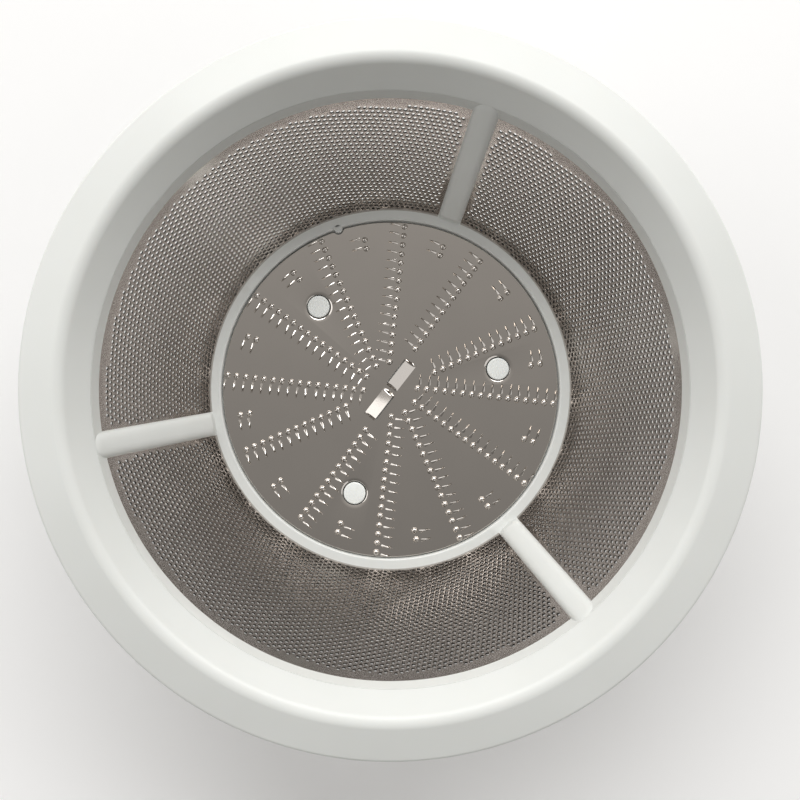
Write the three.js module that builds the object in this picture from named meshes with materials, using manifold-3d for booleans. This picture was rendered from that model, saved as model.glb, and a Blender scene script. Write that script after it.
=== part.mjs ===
// Filter basket of a centrifugal juicer: the spinning sieve with its grating disc.
//
// Millimetres, +Z up. The origin is on the basket's axis, in the plane of its foot.
// A white rim ring caps an open cage: a top band, three outer ribs and a base ring. Three perforated steel
// panels line the cage, and a rounded strip welded over each rib from inside holds their edges. The cage stands
// on a cup with a floor and a skirt. The steel grating disc lies on that floor, and three rivets clamp disc,
// floor and hub together. A splined drive coupling is screwed into the hub from below.

import * as THREE from "three";
import { mergeVertices } from "three/addons/utils/BufferGeometryUtils.js";
import Module from "manifold-3d";

const wasm = await Module();
wasm.setup();

// ---- Driving dimensions -------------------------------------------------------------------------------

const clearance = 0.3; // between pieces that touch on the real basket
const overlap = 0.4; // how far joined shapes run into each other before they are fused
const roundSides = 72; // facets on the large rings
const smallSides = 24; // facets on bosses, rivets and screws
const tau = 2 * Math.PI;

const disc = {
  radius: 42.8,
  thickness: 0.6,
  top: 15, // height of the disc's upper face
  edgeRoll: 1.1, // width of the turned-down edge
  notchAngle: 108, // degrees, where the locating key sits
  keyRadius: 1.1,
};

const rivet = {
  count: 3,
  circle: 28, // radius of the circle the rivets stand on
  firstAngle: 10.9,
  radius: 2.8,
  proud: 0.25, // height of the flush end above the disc
  headRadius: 4.4,
  headHeight: 1.3,
  sinkWidth: 0.9, // pressed countersink round each hole of the disc
  sinkDepth: 0.35,
};

const teeth = {
  rows: 12,
  firstAngle: 23.6,
  sideOffset: 1.6, // each row runs beside its radius, not on it
  centredRows: [0, 6], // but these two run on it
  pitch: 2.32,
  longStart: 6.9,
  shortStart: 12.1,
  edgeMargin: 1, // least distance from a row's last tooth to the disc's edge
  shortRows: [0, 1, 6, 7], // the rows that the centre cutters leave less room for
  pairInset: 6.3, // from the disc's edge to the inner tooth of a pair
  pairAngle: 17, // from a row to the pair that follows it
  width: 1.4,
  back: 0.7,
  length: 3.3,
  height: 1.0,
};

const cutter = {
  angle: 52, // direction of the two centre cutters
  length: 8.4,
  width: 3.1,
  height: 1.5,
  start: 0.4, // gap from the disc's centre
};

const panel = {
  thickness: 0.4,
  halfAngle: 32.5, // degrees between the cone's wall and the axis
  height: 30, // from the base ring's top to the top band's lower edge
  embedTop: 1.4,
  embedBottom: 0.8,
  embedSide: 1.4,
};

const rib = {
  count: 3,
  firstAngle: 70.9,
  width: 6,
  thickness: 1.6, // of the outer rib, behind the panels
  stripHeight: 2, // of the strip inside, at its middle
  stripEdge: 0.6, // of the strip inside, at its long edges
  stripLap: 4.2, // how far the strip's rounded end runs up past the panels
};

const base = {
  ringWidth: 2.1, // the narrow white ring seen round the disc
  ringRise: 1.2, // its height above the disc
  wall: 2.2, // skirt thickness
  outerLip: 1.8, // height of the lip that backs the panels' lower edges
  floor: 1.8,
  holeWall: 0.9, // of the floor, between its middle hole and the rivets' holes
  skirtDraft: 0.8,
  webs: 12,
  webThickness: 1.4,
  webDrop: 7,
};

const band = {
  overhang: 0.9, // how far the band stands inside the panels
  height: 3.4,
  draft: 0.7,
  depth: 2.7, // how far the outside of the band reaches below its inner edge
  outerWall: 2.2,
};

const rim = {
  funnelAngle: 50, // degrees from level
  funnelWidth: 4.9,
  flangeWidth: 9.5,
  flangeAngle: 15,
  crestRound: 2.4,
  edgeRound: 0.8,
  wall: 1.8,
  skirt: 4,
  collarDrop: 4.6,
};

const hub = {
  flangeMargin: 1.6, // beyond the rivets' heads
  flangeThickness: 2.4,
  bossMargin: 1.5, // beyond the coupling's flange
  bossBottom: 5.2,
  roof: 1.8, // over the coupling's pocket
};

const coupling = {
  bodyRadius: 10,
  roof: 1.2, // over the socket
  flangeMargin: 3.7, // beyond the screws' axes
  flangeThickness: 2.5,
  socketRadius: 6.5,
  splineDepth: 1.1,
  splines: 6,
  splineWidth: 2.6,
};

const screw = {
  count: 3,
  inset: 3.8, // from the coupling's body to the screws' axes
  firstAngle: 70.9,
  radius: 1.4,
  length: 6.5,
  headRadius: 2.6,
  headHeight: 1.4,
  driveRadius: 1.2,
  driveDepth: 0.8,
};

// ---- Places that follow from those dimensions ---------------------------------------------------------

const radians = (degrees) => (degrees * Math.PI) / 180;
const slope = Math.tan(radians(panel.halfAngle));
const acrossWall = 1 / Math.cos(radians(panel.halfAngle)); // level distance per unit through the wall

const seat = disc.top - disc.thickness - clearance; // the floor's upper face
const ringInner = disc.radius + clearance;
const ringOuter = ringInner + base.ringWidth;
const ringTop = disc.top + base.ringRise;
const floorBottom = seat - base.floor;

// Inner radius of the panels' cone at a height.
const coneRadius = (z) => ringOuter + clearance * acrossWall + (z - ringTop) * slope;
const coneOuter = (z) => coneRadius(z) + (panel.thickness + clearance) * acrossWall;

const bandBottom = ringTop + panel.height;
const bandTop = bandBottom + band.height;
const bandInner = coneRadius(bandBottom) - band.overhang;
const bandOuter = coneOuter(bandBottom) + band.outerWall;

const floorHole = rivet.circle - rivet.radius - clearance - base.holeWall;
const lipTop = ringTop + base.outerLip;
const skirtOuter = coneOuter(lipTop) + base.wall / 2;

const hubTop = floorBottom - clearance;
const hubFlange = rivet.circle + rivet.headRadius + hub.flangeMargin;
const pocketTop = seat - hub.roof;
const couplingTop = pocketTop - clearance;
const couplingBottom = hub.bossBottom - clearance - coupling.flangeThickness;
const socketTop = couplingTop - coupling.roof;
const screwCircle = coupling.bodyRadius + screw.inset;
const couplingFlange = screwCircle + coupling.flangeMargin;

// ---- Helpers ------------------------------------------------------------------------------------------

const point = (x, y) => new THREE.Vector2(x, y);

// A closed three.js geometry as a manifold-3d solid.
function solid(geometry) {
  const bare = geometry.index ? geometry.toNonIndexed() : geometry.clone();
  bare.deleteAttribute("normal");
  bare.deleteAttribute("uv");
  const merged = mergeVertices(bare, 1e-4);
  return new wasm.Manifold(
    new wasm.Mesh({
      numProp: 3,
      vertProperties: new Float32Array(merged.attributes.position.array),
      triVerts: new Uint32Array(merged.index.array),
    }),
  );
}

// A manifold-3d solid as a three.js geometry.
function geometryOf(body) {
  const mesh = body.getMesh();
  const geometry = new THREE.BufferGeometry();
  geometry.setAttribute("position", new THREE.BufferAttribute(new Float32Array(mesh.vertProperties), 3));
  geometry.setIndex(new THREE.BufferAttribute(new Uint32Array(mesh.triVerts), 1));
  return geometry.toNonIndexed();
}

// A solid of revolution about Z from a list of [radius, height] points, given in either direction round.
function turned(outline, sides = roundSides) {
  let loop = outline.map(([r, z]) => point(r, z));
  if (THREE.ShapeUtils.area(loop) < 0) loop = loop.reverse();
  const onAxis = loop.filter((p) => p.x === 0).length === 2;
  if (onAxis) {
    while (loop[0].x !== 0 || loop[loop.length - 1].x !== 0) loop.push(loop.shift());
  } else {
    loop.push(loop[0].clone());
  }
  const geometry = new THREE.LatheGeometry(loop, sides);
  geometry.rotateX(Math.PI / 2);
  return solid(geometry);
}

const cylinder = (radius, bottom, top, sides = smallSides) =>
  turned([[0, bottom], [radius, bottom], [radius, top], [0, top]], sides);

// A box by its lowest and highest corners.
function block([x0, y0, z0], [x1, y1, z1]) {
  const geometry = new THREE.BoxGeometry(x1 - x0, y1 - y0, z1 - z0);
  geometry.translate((x0 + x1) / 2, (y0 + y1) / 2, (z0 + z1) / 2);
  return solid(geometry);
}

// A pyramid or wedge from its corner points and its faces, each a loop seen from outside.
function faceted(corners, faces) {
  const positions = [];
  for (const face of faces) {
    for (let i = 1; i < face.length - 1; i++) {
      for (const corner of [face[0], face[i], face[i + 1]]) positions.push(...corners[corner]);
    }
  }
  const geometry = new THREE.BufferGeometry();
  geometry.setAttribute("position", new THREE.BufferAttribute(new Float32Array(positions), 3));
  return solid(geometry);
}

const turnedBy = (body, degrees) => body.rotate([0, 0, degrees]);
const fuse = (bodies) => bodies.reduce((all, body) => all.add(body));
const cutAll = (body, cuts) => cuts.reduce((rest, cut) => rest.subtract(cut), body);

// Points of an arc about a centre, from one angle to another in degrees.
function arc([cx, cy], radius, from, to, steps) {
  return Array.from({ length: steps + 1 }, (_, i) => {
    const angle = radians(from + ((to - from) * i) / steps);
    return [cx + radius * Math.cos(angle), cy + radius * Math.sin(angle)];
  });
}

const polar = (radius, degrees) => [radius * Math.cos(radians(degrees)), radius * Math.sin(radians(degrees))];

// Copies of a body on a circle about the axis.
function onCircle(body, circle, count, firstAngle) {
  return Array.from({ length: count }, (_, i) => {
    const [x, y] = polar(circle, firstAngle + (360 / count) * i);
    return body.translate([x, y, 0]);
  });
}

// ---- Rim ring -----------------------------------------------------------------------------------------

// The white cap of the basket: a funnel inside, a rounded crest, a gently falling flange and a short skirt.
function rimRing() {
  const foot = bandTop + clearance;
  const inner = bandInner + band.draft;
  const up = radians(rim.funnelAngle);
  const down = radians(rim.flangeAngle);
  const corner = [inner + rim.funnelWidth, foot + rim.funnelWidth * Math.tan(up)];
  const turn = (up + down) / 2;
  const back = rim.crestRound * Math.tan(turn); // from the sharp corner to each end of its round
  const centre = [
    corner[0] - back * Math.cos(up) + rim.crestRound * Math.sin(up),
    corner[1] - back * Math.sin(up) - rim.crestRound * Math.cos(up),
  ];
  const outer = corner[0] + rim.flangeWidth;
  const edge = corner[1] - rim.flangeWidth * Math.tan(down);
  const skirtBottom = edge - rim.skirt;
  const collarInner = bandOuter + clearance;
  const collarOuter = collarInner + rim.wall;
  const underside = (r) => corner[1] - rim.wall / Math.cos(down) - (r - corner[0]) * Math.tan(down);
  return turned([
    [inner, foot],
    ...arc(centre, rim.crestRound, 90 + rim.funnelAngle, 90 - rim.flangeAngle, 5),
    ...arc([outer - rim.edgeRound, edge - rim.edgeRound], rim.edgeRound, 90 - rim.flangeAngle, 0, 2),
    [outer, skirtBottom],
    [outer - rim.wall, skirtBottom],
    [outer - rim.wall, underside(outer - rim.wall)],
    [collarOuter, underside(collarOuter)],
    [collarOuter, bandTop - rim.collarDrop],
    [collarInner, bandTop - rim.collarDrop],
    [collarInner, foot],
  ]);
}

// ---- Panels -------------------------------------------------------------------------------------------

// The full conical sheet, grown on every side and edge by a margin.
function coneSheet(margin) {
  const low = ringTop - panel.embedBottom - margin;
  const high = bandBottom + panel.embedTop + margin;
  const inner = (z) => coneRadius(z) - margin * acrossWall;
  const outer = (z) => coneRadius(z) + (panel.thickness + margin) * acrossWall;
  return turned([
    [inner(low), low],
    [outer(low), low],
    [outer(high), high],
    [inner(high), high],
  ]);
}

// The slots between neighbouring panels, one under the middle of each rib.
function panelGaps(margin) {
  const half = rib.width / 2 - panel.embedSide - margin;
  const reach = 2 * bandOuter;
  const slot = block([0, -half, 0], [reach, half, reach]);
  return ribAngles().map((angle) => turnedBy(slot, angle));
}

const ribAngles = () => Array.from({ length: rib.count }, (_, i) => rib.firstAngle + (360 / rib.count) * i);

// One solid for each panel, in the order of the ribs that they follow.
function meshPanels() {
  const sheet = cutAll(coneSheet(0), panelGaps(0));
  const angleOf = (body) => {
    const { min, max } = body.boundingBox();
    const angle = Math.atan2(min[1] + max[1], min[0] + max[0]);
    return (angle - radians(rib.firstAngle) + 2 * tau) % tau;
  };
  return sheet.decompose().sort((a, b) => angleOf(a) - angleOf(b));
}

// ---- Cage ---------------------------------------------------------------------------------------------

// The band round the top of the panels, with its inner face nearly upright.
function topBand() {
  const outsideBottom = bandBottom - band.depth;
  return turned([
    [bandInner, bandBottom],
    [bandInner + band.draft, bandTop],
    [bandOuter, bandTop],
    [bandOuter, outsideBottom],
    [coneOuter(outsideBottom), outsideBottom],
    [coneOuter(bandBottom), bandBottom],
  ]);
}

// The ring round the disc, with a lip behind the panels' lower edges.
function baseRing() {
  const bottom = seat + clearance;
  return turned([
    [ringInner, bottom],
    [ringInner, ringTop],
    [coneOuter(ringTop), ringTop],
    [coneOuter(lipTop), lipTop],
    [skirtOuter, lipTop],
    [skirtOuter, bottom],
  ]);
}

// An outline swept up the wall of the cone from a height, its x across the rib and its y outwards from the
// panels' inner face.
function alongWall(outline, bottom, length) {
  const section = new THREE.Shape(outline.map(([x, y]) => point(x, y)));
  const geometry = new THREE.ExtrudeGeometry(section, { depth: length, bevelEnabled: false });
  const wallUp = new THREE.Vector3(Math.sin(radians(panel.halfAngle)), 0, Math.cos(radians(panel.halfAngle)));
  const across = new THREE.Vector3(0, -1, 0);
  const outwards = new THREE.Vector3().crossVectors(wallUp, across);
  geometry.applyMatrix4(new THREE.Matrix4().makeBasis(across, outwards, wallUp));
  geometry.translate(coneRadius(bottom), 0, bottom);
  return solid(geometry);
}

// An outer rib: it backs the edges of two panels, fills the slot between them, and ends in ring and band.
function outerRib() {
  const bottom = ringTop - overlap;
  const half = rib.width / 2;
  const outside = panel.thickness + clearance + rib.thickness;
  const outline = [[-half, 0], [half, 0], [half, outside], [-half, outside]];
  const bar = alongWall(outline, bottom, (bandTop - bottom) * acrossWall);
  const above = cylinder(2 * bandOuter, bandTop, 2 * bandTop);
  const beyondBand = turned([
    [bandOuter, bandBottom - band.depth],
    [2 * bandOuter, bandBottom - band.depth],
    [2 * bandOuter, bandTop + overlap],
    [bandOuter, bandTop + overlap],
  ]);
  const insideRing = cylinder(ringInner + overlap, 0, bandTop, roundSides);
  return cutAll(bar, [above, beyondBand, insideRing]);
}

// The key on the ring that the disc's notch fits round.
function locatingKey() {
  const [x, y] = polar(ringInner, disc.notchAngle);
  return cylinder(disc.keyRadius, seat + clearance, ringTop).translate([x, y, 0]);
}

function cageFrame() {
  const ribs = ribAngles().map((angle) => turnedBy(outerRib(), angle));
  const grooves = cutAll(coneSheet(clearance), panelGaps(clearance));
  return fuse([baseRing(), topBand(), ...ribs, locatingKey()]).subtract(grooves);
}

// ---- Base cup -----------------------------------------------------------------------------------------

// Stiffening webs under the floor, between the hub's flange and the skirt.
function baseWebs() {
  const start = hubFlange + clearance + base.webThickness;
  const end = skirtOuter - base.skirtDraft - base.wall + overlap;
  const half = base.webThickness / 2;
  const web = block([start, -half, floorBottom - base.webDrop], [end, half, floorBottom + overlap]);
  return Array.from({ length: base.webs }, (_, i) => turnedBy(web, rib.firstAngle + (360 / base.webs) * i));
}

// The cup: a floor under the disc, and the skirt that the basket stands on.
function baseCup() {
  const foot = skirtOuter - base.skirtDraft;
  const cup = turned([
    [floorHole, seat],
    [skirtOuter, seat],
    [foot, 0],
    [foot - base.wall, 0],
    [foot - base.wall, floorBottom],
    [floorHole, floorBottom],
  ]);
  const rivetHole = cylinder(rivet.radius + clearance, floorBottom - overlap, seat + overlap);
  return cutAll(fuse([cup, ...baseWebs()]), onCircle(rivetHole, rivet.circle, rivet.count, rivet.firstAngle));
}

// ---- Rib strips ---------------------------------------------------------------------------------------

// A strip welded over a rib from inside: crowned across, square at the base ring, rounded at its top end.
function ribStrip() {
  const bottom = ringTop + clearance;
  const half = rib.width / 2;
  const back = -clearance;
  const crown = rib.stripHeight - rib.stripEdge;
  const crownRadius = (half * half + crown * crown) / (2 * crown);
  const crownCentre = [0, back - rib.stripHeight + crownRadius];
  const reach = (Math.asin(half / crownRadius) * 180) / Math.PI;
  const outline = [[half, back], [-half, back], ...arc(crownCentre, crownRadius, 270 - reach, 270 + reach, 6)];
  const straight = (bandBottom - bottom) * acrossWall;
  const bar = alongWall(outline, bottom, straight + rib.stripLap);
  // The strip's plan, drawn on the cone's wall: square below, a half circle above.
  const roundCentre = straight + rib.stripLap - half;
  const plan = new THREE.Shape([
    ...[[-half, -overlap], [half, -overlap]],
    ...arc([0, roundCentre], half, 0, 180, 8),
  ].map(([x, y]) => point(x, y)));
  const depth = rib.stripHeight + 2 * overlap;
  const prism = new THREE.ExtrudeGeometry(plan, { depth, bevelEnabled: false });
  const wallUp = new THREE.Vector3(Math.sin(radians(panel.halfAngle)), 0, Math.cos(radians(panel.halfAngle)));
  const inwards = new THREE.Vector3(-wallUp.z, 0, wallUp.x);
  prism.applyMatrix4(new THREE.Matrix4().makeBasis(new THREE.Vector3(0, -1, 0), wallUp, inwards));
  prism.translate(coneRadius(bottom), 0, bottom);
  const inner = bandInner - clearance;
  const behindBand = turned([
    [inner, bandBottom - clearance],
    [inner + 2 * band.draft, bandTop + band.height],
    [2 * bandOuter, bandTop + band.height],
    [2 * bandOuter, bandBottom - clearance],
  ]);
  const belowRing = cylinder(2 * bandOuter, 0, ringTop + clearance, roundSides);
  return cutAll(bar.intersect(solid(prism)), [behindBand, belowRing]);
}

// ---- Grating disc -------------------------------------------------------------------------------------

// A raised tooth on the disc's face: a kite-shaped pyramid whose long point leads, along +Y.
function tooth() {
  const foot = disc.top - disc.thickness / 2;
  const half = teeth.width / 2;
  const corners = [
    [0, -teeth.back, foot],
    [half, 0, foot],
    [0, teeth.length, foot],
    [-half, 0, foot],
    [0, teeth.back, disc.top + teeth.height],
  ];
  return faceted(corners, [[3, 2, 1, 0], [0, 1, 4], [1, 2, 4], [2, 3, 4], [3, 0, 4]]);
}

// The tooth's places: full rows beside twelve radii, and a pair near the rim between each two rows.
function toothPlaces() {
  const places = [];
  for (let row = 0; row < teeth.rows; row++) {
    const angle = teeth.firstAngle + (360 / teeth.rows) * row;
    const start = teeth.shortRows.includes(row) ? teeth.shortStart : teeth.longStart;
    const count = Math.floor((disc.radius - teeth.edgeMargin - start) / teeth.pitch) + 1;
    const pairStart = disc.radius - teeth.pairInset;
    const beside = teeth.centredRows.includes(row) ? 0 : teeth.sideOffset;
    for (let i = 0; i < count; i++) places.push([start + i * teeth.pitch, beside, angle]);
    for (const step of [0, 1]) places.push([pairStart + step * teeth.pitch, 0, angle + teeth.pairAngle]);
  }
  return places;
}

// A centre cutter: a wedge that rises to an open edge on its leading side.
function centreCutter() {
  const foot = disc.top - disc.thickness / 2;
  const [x0, x1] = [cutter.start, cutter.start + cutter.length];
  const half = cutter.width / 2;
  const top = disc.top + cutter.height;
  const corners = [
    [x0, -half, foot],
    [x1, -half, foot],
    [x1, half, foot],
    [x0, half, foot],
    [x0 + overlap, half, top],
    [x1 - overlap, half, top],
  ];
  return faceted(corners, [[3, 2, 1, 0], [0, 1, 5, 4], [1, 2, 5], [2, 3, 4, 5], [3, 0, 4]]);
}

function gratingDisc() {
  const bottom = disc.top - disc.thickness;
  const plate = turned([
    [0, bottom],
    [disc.radius, bottom],
    [disc.radius, disc.top - disc.thickness / 3],
    [disc.radius - disc.edgeRoll, disc.top],
    [0, disc.top],
  ]);
  const holeRadius = rivet.radius + clearance;
  const sinkTop = disc.top + overlap;
  const sinkOuter = holeRadius + (rivet.sinkWidth * (rivet.sinkDepth + overlap)) / rivet.sinkDepth;
  const hole = turned(
    [
      [0, bottom - overlap],
      [holeRadius, bottom - overlap],
      [holeRadius, disc.top - rivet.sinkDepth],
      [sinkOuter, sinkTop],
      [0, sinkTop],
    ],
    smallSides,
  );
  const [x, y] = polar(ringInner, disc.notchAngle);
  const notch = cylinder(disc.keyRadius + clearance, bottom - overlap, disc.top + 1).translate([x, y, 0]);
  const oneTooth = tooth();
  const allTeeth = toothPlaces().map(([along, beside, angle]) =>
    turnedBy(oneTooth.translate([along, beside, 0]), angle),
  );
  const cutters = [0, 180].map((turn) => turnedBy(centreCutter(), cutter.angle + turn));
  const holes = onCircle(hole, rivet.circle, rivet.count, rivet.firstAngle);
  return cutAll(fuse([plate, ...allTeeth, ...cutters]), [...holes, notch]);
}

// ---- Rivets, hub, coupling and screws -----------------------------------------------------------------

// A plastic rivet: nearly flush in the disc's countersink above, headed under the hub's flange.
function discRivet() {
  const top = disc.top + rivet.proud;
  const chamfer = rivet.proud;
  const shoulder = hubTop - hub.flangeThickness - clearance;
  return turned(
    [
      [0, top],
      [rivet.radius - chamfer, top],
      [rivet.radius, top - chamfer],
      [rivet.radius, shoulder],
      [rivet.headRadius, shoulder],
      [rivet.headRadius, shoulder - rivet.headHeight / 2],
      [rivet.headRadius - rivet.headHeight / 2, shoulder - rivet.headHeight],
      [0, shoulder - rivet.headHeight],
    ],
    smallSides,
  );
}

// The hub: a plate that fills the floor's hole, a flange under the floor, and a boss with the coupling's pocket.
function baseHub() {
  const flangeBottom = hubTop - hub.flangeThickness;
  const boss = couplingFlange + hub.bossMargin;
  const pocket = coupling.bodyRadius + clearance;
  const body = turned([
    [0, seat],
    [floorHole - clearance, seat],
    [floorHole - clearance, hubTop],
    [hubFlange, hubTop],
    [hubFlange, flangeBottom],
    [boss, flangeBottom],
    [boss, hub.bossBottom],
    [pocket, hub.bossBottom],
    [pocket, pocketTop],
    [0, pocketTop],
  ]);
  const rivetHole = cylinder(rivet.radius + clearance, flangeBottom - overlap, hubTop + overlap);
  const pilotTop = couplingBottom + screw.length + clearance;
  const pilot = cylinder(screw.radius + clearance, hub.bossBottom - overlap, pilotTop);
  return cutAll(body, [
    ...onCircle(rivetHole, rivet.circle, rivet.count, rivet.firstAngle),
    ...onCircle(pilot, screwCircle, screw.count, screw.firstAngle),
  ]);
}

// The drive coupling: a flanged cup with a splined socket that the motor's drive enters from below.
function driveCoupling() {
  const flangeTop = couplingBottom + coupling.flangeThickness;
  const cup = turned(
    [
      [0, couplingTop],
      [coupling.bodyRadius, couplingTop],
      [coupling.bodyRadius, flangeTop],
      [couplingFlange, flangeTop],
      [couplingFlange, couplingBottom],
      [0, couplingBottom],
    ],
    2 * smallSides,
  );
  const socket = cylinder(coupling.socketRadius, couplingBottom - overlap, socketTop, 2 * smallSides);
  const half = coupling.splineWidth / 2;
  const reach = coupling.socketRadius + coupling.splineDepth;
  const spline = block([0, -half, couplingBottom - overlap], [reach, half, socketTop]);
  const splines = Array.from({ length: coupling.splines }, (_, i) => turnedBy(spline, (360 / coupling.splines) * i));
  const screwHole = cylinder(screw.radius + clearance, couplingBottom - overlap, flangeTop + overlap);
  return cutAll(cup, [socket, ...splines, ...onCircle(screwHole, screwCircle, screw.count, screw.firstAngle)]);
}

// A pan-head screw driven upwards, with a cross-shaped recess in its head.
function couplingScrew() {
  const under = couplingBottom - clearance; // the head's upper face
  const headBottom = under - screw.headHeight;
  const body = turned(
    [
      [0, couplingBottom + screw.length],
      [screw.radius / 2, couplingBottom + screw.length],
      [screw.radius, couplingBottom + screw.length - screw.radius],
      [screw.radius, under],
      [screw.headRadius, under],
      [screw.headRadius, headBottom + screw.headHeight / 3],
      [screw.headRadius - screw.headHeight / 3, headBottom],
      [0, headBottom],
    ],
    smallSides,
  );
  const half = screw.driveRadius / 3;
  const arm = block(
    [-screw.driveRadius, -half, headBottom - overlap],
    [screw.driveRadius, half, headBottom + screw.driveDepth],
  );
  return cutAll(body, [arm, turnedBy(arm, 90)]);
}

// ---- Materials and assembly ---------------------------------------------------------------------------

const whitePlastic = new THREE.MeshStandardMaterial({ color: 0xe9ebe8, roughness: 0.42, metalness: 0 });
const polishedSteel = new THREE.MeshStandardMaterial({ color: 0xbcb6ae, roughness: 0.12, metalness: 1 });
const sieveSteel = new THREE.MeshStandardMaterial({ color: 0xa9a29b, roughness: 0.26, metalness: 1 });
const greyNylon = new THREE.MeshStandardMaterial({ color: 0x5c5f62, roughness: 0.55, metalness: 0 });
const screwSteel = new THREE.MeshStandardMaterial({ color: 0x9c9c9a, roughness: 0.3, metalness: 1 });

const basket = new THREE.Group();

function place(name, body, material) {
  const mesh = new THREE.Mesh(geometryOf(body), material);
  mesh.name = name;
  basket.add(mesh);
}

place("rim_ring", rimRing(), whitePlastic);
place("cage_frame", cageFrame(), whitePlastic);
place("base_cup", baseCup(), whitePlastic);
meshPanels().forEach((body, i) => place(`mesh_panel_${i + 1}`, body, sieveSteel));
ribAngles().forEach((angle, i) => place(`rib_strip_${i + 1}`, turnedBy(ribStrip(), angle), whitePlastic));
place("grating_disc", gratingDisc(), polishedSteel);
onCircle(discRivet(), rivet.circle, rivet.count, rivet.firstAngle).forEach((body, i) =>
  place(`disc_rivet_${i + 1}`, body, whitePlastic),
);
place("base_hub", baseHub(), whitePlastic);
place("drive_coupling", driveCoupling(), greyNylon);
onCircle(couplingScrew(), screwCircle, screw.count, screw.firstAngle).forEach((body, i) =>
  place(`coupling_screw_${i + 1}`, body, screwSteel),
);

export default basket;
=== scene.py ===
import math

import bmesh
import bpy
import numpy as np
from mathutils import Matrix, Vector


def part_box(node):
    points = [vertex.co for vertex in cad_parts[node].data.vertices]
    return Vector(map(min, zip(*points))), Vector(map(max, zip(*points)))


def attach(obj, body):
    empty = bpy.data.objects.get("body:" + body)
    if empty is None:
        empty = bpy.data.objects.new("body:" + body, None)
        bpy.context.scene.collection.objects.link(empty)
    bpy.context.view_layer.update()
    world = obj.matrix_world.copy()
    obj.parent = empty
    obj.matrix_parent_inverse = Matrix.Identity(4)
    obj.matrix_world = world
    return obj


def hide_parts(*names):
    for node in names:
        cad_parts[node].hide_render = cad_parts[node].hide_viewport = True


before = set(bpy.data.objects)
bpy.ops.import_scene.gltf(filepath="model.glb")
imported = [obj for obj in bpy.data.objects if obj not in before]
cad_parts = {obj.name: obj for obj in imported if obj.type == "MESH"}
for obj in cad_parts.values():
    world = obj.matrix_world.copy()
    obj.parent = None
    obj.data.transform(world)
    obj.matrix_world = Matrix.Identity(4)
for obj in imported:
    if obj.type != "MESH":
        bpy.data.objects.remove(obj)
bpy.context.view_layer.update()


# ---- Cage --------------------------------------------------------------------------------------------
# The white cage that carries the sieve: a ring round the disc, a band at the top and three outer ribs
# between them. It is one moulding in satin ABS, with a small key on the ring that the disc's notch fits
# round.

mm = 0.001
turn = 2 * math.pi
gap = 0.3 * mm  # between pieces that touch

disc_low, disc_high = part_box("grating_disc")
panel_low, panel_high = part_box("mesh_panel_1")
_, cage_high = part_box("cage_frame")
rim_low, rim_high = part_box("rim_ring")
hub_low, hub_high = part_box("base_hub")

cone_angle = math.radians(32.5)
through_wall = 1 / math.cos(cone_angle)  # level distance for each unit through the cone's wall
sheet = 0.4 * mm  # thickness of the sieve panels
disc_radius = disc_high[0]
ring_inner = disc_radius + gap
ring_outer = ring_inner + 2.1 * mm
ring_top = panel_low[2] + 0.8 * mm
seat = disc_low[2] - gap  # upper face of the floor
lip_top = ring_top + 1.8 * mm
band_bottom = panel_high[2] - 1.4 * mm
band_top = cage_high[2]
band_outer = cage_high[0]
rib_width = 6 * mm
rib_angles = np.radians(70.9) + turn * np.arange(3) / 3


def wall_radius(height):
    """Inner radius of the sieve cone: the ring's outer radius plus the height above it times the wall's
    slope."""
    return ring_outer + gap * through_wall + (height - ring_top) * math.tan(cone_angle)


def wall_back(height):
    """Radius of the space behind the sieve cone: its inner radius plus the sheet and a gap, measured
    level."""
    return wall_radius(height) + (sheet + gap) * through_wall


def rounded(corners, radii, steps=5, closed=True):
    """An outline with arcs for corners. An arc of radius r has its centre on the corner's bisector, r
    over the sine of half the corner's angle away, and its points are the spherical blend of its two end
    directions."""
    corners = np.asarray(corners, float)
    radii = np.broadcast_to(np.asarray(radii, float), len(corners))[:, None]
    before = np.roll(corners, 1, 0) - corners
    after = np.roll(corners, -1, 0) - corners
    before /= np.linalg.norm(before, axis=1, keepdims=True)
    after /= np.linalg.norm(after, axis=1, keepdims=True)
    half = np.arccos(np.clip((before * after).sum(1), -1, 1))[:, None] / 2
    bisector = before + after
    bisector /= np.linalg.norm(bisector, axis=1, keepdims=True)
    centres = corners + bisector * radii / np.sin(half)
    first = (corners + before * radii / np.tan(half) - centres)[:, None]
    last = (corners + after * radii / np.tan(half) - centres)[:, None]
    sweep = (math.pi - 2 * half)[:, :, None]
    share = np.linspace(0, 1, steps + 1)[None, :, None]
    arcs = (np.sin((1 - share) * sweep) * first + np.sin(share * sweep) * last) / np.sin(sweep)
    points = centres[:, None] + arcs
    if closed:
        return points.reshape(-1, 2)
    return np.vstack([corners[:1], points[1:-1].reshape(-1, 2), corners[-1:]])


def grid_faces(rows, columns, rows_meet, columns_meet):
    """Four-sided faces of a grid of points, numbered row by row, that may close on itself either
    way."""
    row = np.arange(rows if rows_meet else rows - 1)[:, None]
    column = np.arange(columns if columns_meet else columns - 1)[None, :]
    next_row = (row + 1) % rows
    next_column = (column + 1) % columns
    corners = [row * columns + column, next_row * columns + column]
    corners += [next_row * columns + next_column, row * columns + next_column]
    return np.stack(np.broadcast_arrays(*corners), -1).reshape(-1, 4)


def turned(outline, sides=224, centre=(0.0, 0.0), closed=True):
    """An outline of (r, z) points turned about an upright axis: x is r cos a, y is r sin a, from its
    centre."""
    angle = (turn * np.arange(sides) / sides)[:, None]
    radius, height = outline[None, :, 0], outline[None, :, 1]
    x = centre[0] + radius * np.cos(angle)
    y = centre[1] + radius * np.sin(angle)
    points = np.stack([x, y, np.broadcast_to(height, x.shape)], -1).reshape(-1, 3)
    return points, [grid_faces(sides, len(outline), True, closed)]


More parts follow.
